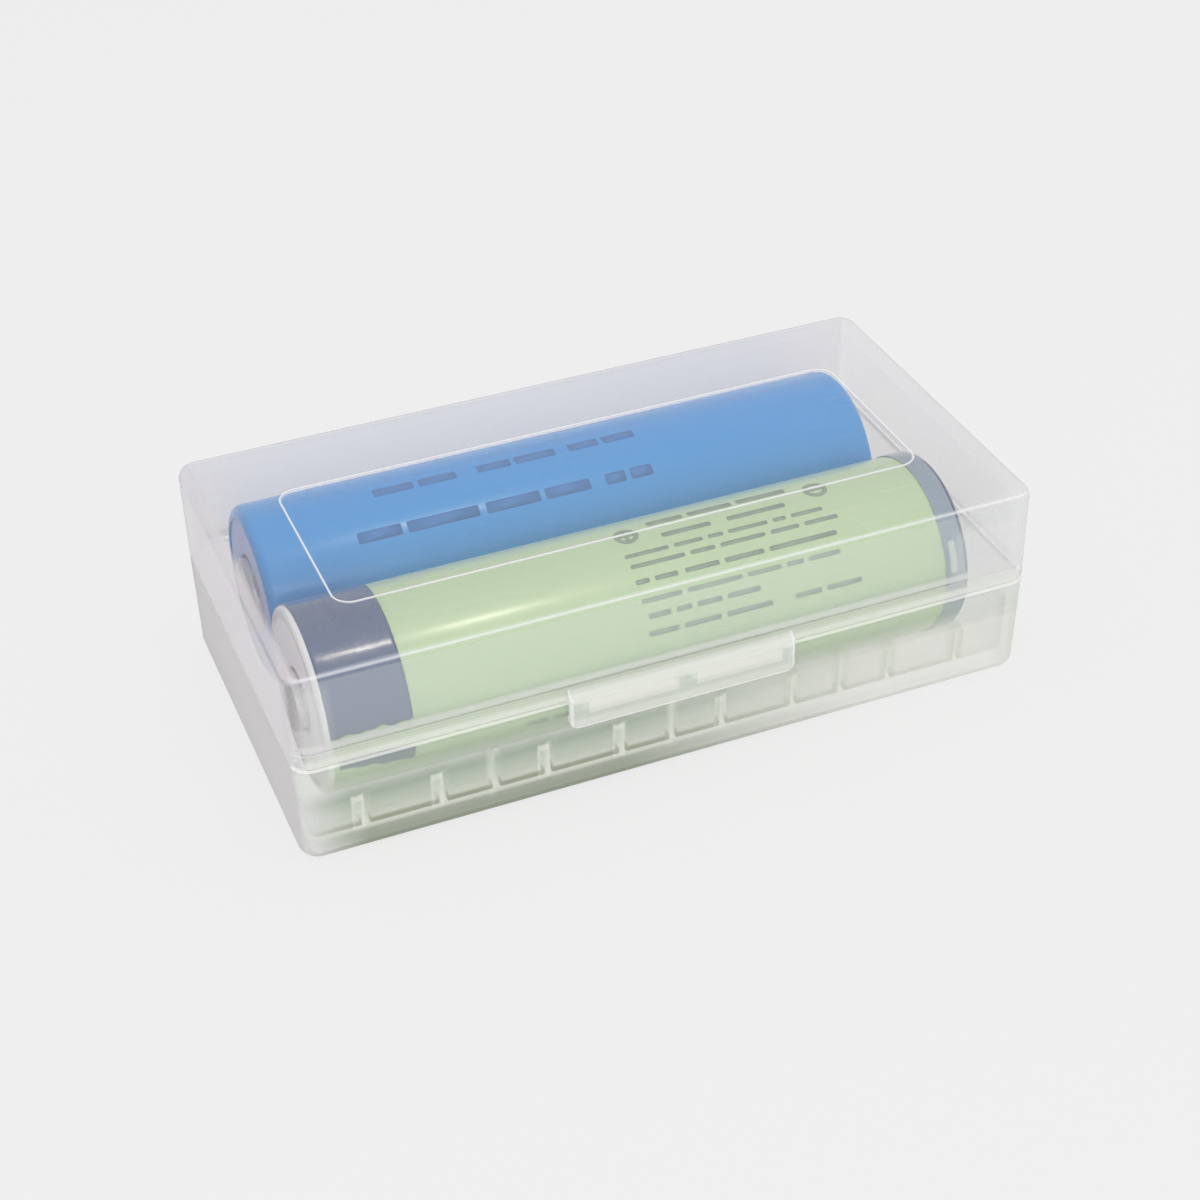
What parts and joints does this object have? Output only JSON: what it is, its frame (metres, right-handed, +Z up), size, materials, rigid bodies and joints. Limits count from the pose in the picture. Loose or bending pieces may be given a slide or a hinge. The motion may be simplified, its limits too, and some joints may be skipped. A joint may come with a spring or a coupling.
{
  "type": "battery storage case",
  "caption": "Hinged translucent plastic case with a snap latch and a ribbed tray, holding two round lithium cells side by side.",
  "frame": {"origin": "centre of the flat underside of the tray", "axes": "+X along the case's length, towards the cells' plain ends; +Y towards the hinge; +Z up"},
  "size_m": [0.077, 0.0445, 0.022],
  "materials": {
    "tray_plastic": "translucent moulded polypropylene, satin",
    "lid_plastic": "clear milky moulded polypropylene",
    "cell_steel": "nickel-plated steel can",
    "cap_steel": "nickel-plated steel",
    "paper_ring": "white fibre washer",
    "blue_wrap": "shrunk film, slight gloss",
    "green_wrap": "shrunk film, slight gloss",
    "board": "coated circuit board",
    "black_band": "black film, slightly wrinkled"
  },
  "bodies": {
    "base": {"base_tray": "tray_plastic", "rear_cell_can": "cell_steel", "rear_cell_cap": "cap_steel", "rear_cell_insulator": "paper_ring", "rear_cell_sleeve": "blue_wrap", "front_cell_can": "cell_steel", "front_cell_cap": "cap_steel", "front_cell_insulator": "paper_ring", "front_cell_sleeve": "green_wrap", "front_cell_circuit_board": "board", "front_cell_strap": "cap_steel", "front_cell_left_band": "black_band", "front_cell_right_band": "black_band"},
    "lid": {"lid": "lid_plastic"}
  },
  "joints": [
    {"name": "lid_hinge", "type": "hinge", "parent": "base", "child": "lid", "pos_m": [0, 0.02185, 0.0114], "axis": [-1, 0, 0], "range_deg": [0, 180]}
  ]
}
